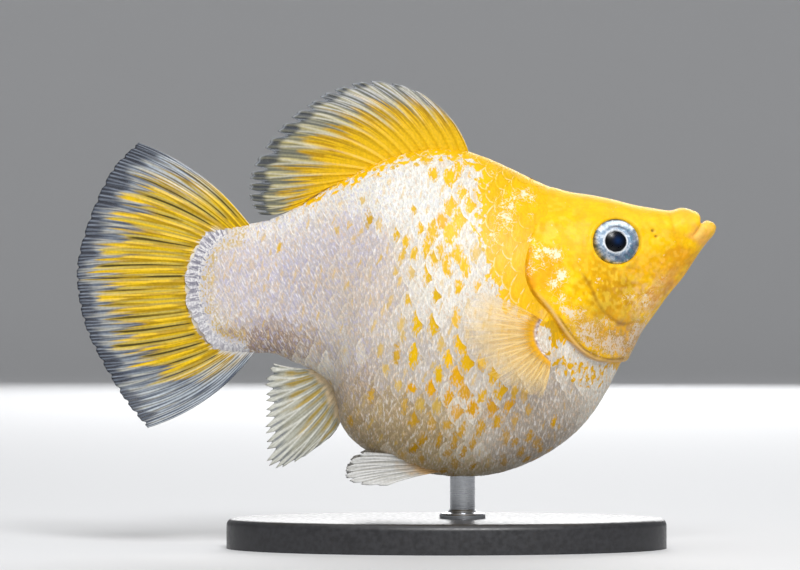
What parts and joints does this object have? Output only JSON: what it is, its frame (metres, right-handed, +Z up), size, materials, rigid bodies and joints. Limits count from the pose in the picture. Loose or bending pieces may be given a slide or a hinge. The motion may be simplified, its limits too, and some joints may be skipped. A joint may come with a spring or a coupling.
{
  "type": "balloon molly model",
  "caption": "Life-size still model of a yellow and white balloon molly swimming, with its fins spread, held by a short rod on a flat oval display base",
  "frame": {"origin": "on the floor, under the middle of the whole model and stand", "axes": "+X from the tail to the snout, +Y to the fish's left side, +Z up; the fish is pitched slightly nose up, as in the picture"},
  "size_m": [0.064, 0.025, 0.0467],
  "materials": {
    "head_skin": "painted resin under a wet-look clear coat, bright yellow with a white net",
    "scaled_skin": "painted resin under a wet-look clear coat, pearl white and pale lavender scales with yellow marks",
    "tail_membrane": "thin cast resin, yellow with white rays and a smoky clear edge",
    "dorsal_membrane": "thin cast resin, yellow at the root, white rays and a smoky clear edge",
    "pale_membrane": "thin cast resin, white rays with faint yellow between them",
    "pectoral_membrane": "thin cast resin, pale amber, half clear",
    "eye": "silver blue iris round a black pupil, under a clear polished dome",
    "base": "satin black",
    "rod": "satin steel"
  },
  "bodies": {
    "root": {"head": "head_skin", "trunk": "scaled_skin", "tail_stalk": "scaled_skin", "eye_left": "eye", "eye_right": "eye", "dorsal_fin": "dorsal_membrane", "tail_fin": "tail_membrane", "anal_fin": "pale_membrane", "pelvic_fin_left": "pale_membrane", "pelvic_fin_right": "pale_membrane", "pectoral_fin_left": "pectoral_membrane", "pectoral_fin_right": "pectoral_membrane", "stand_base": "base", "stand_rod": "rod"}
  },
  "joints": []
}
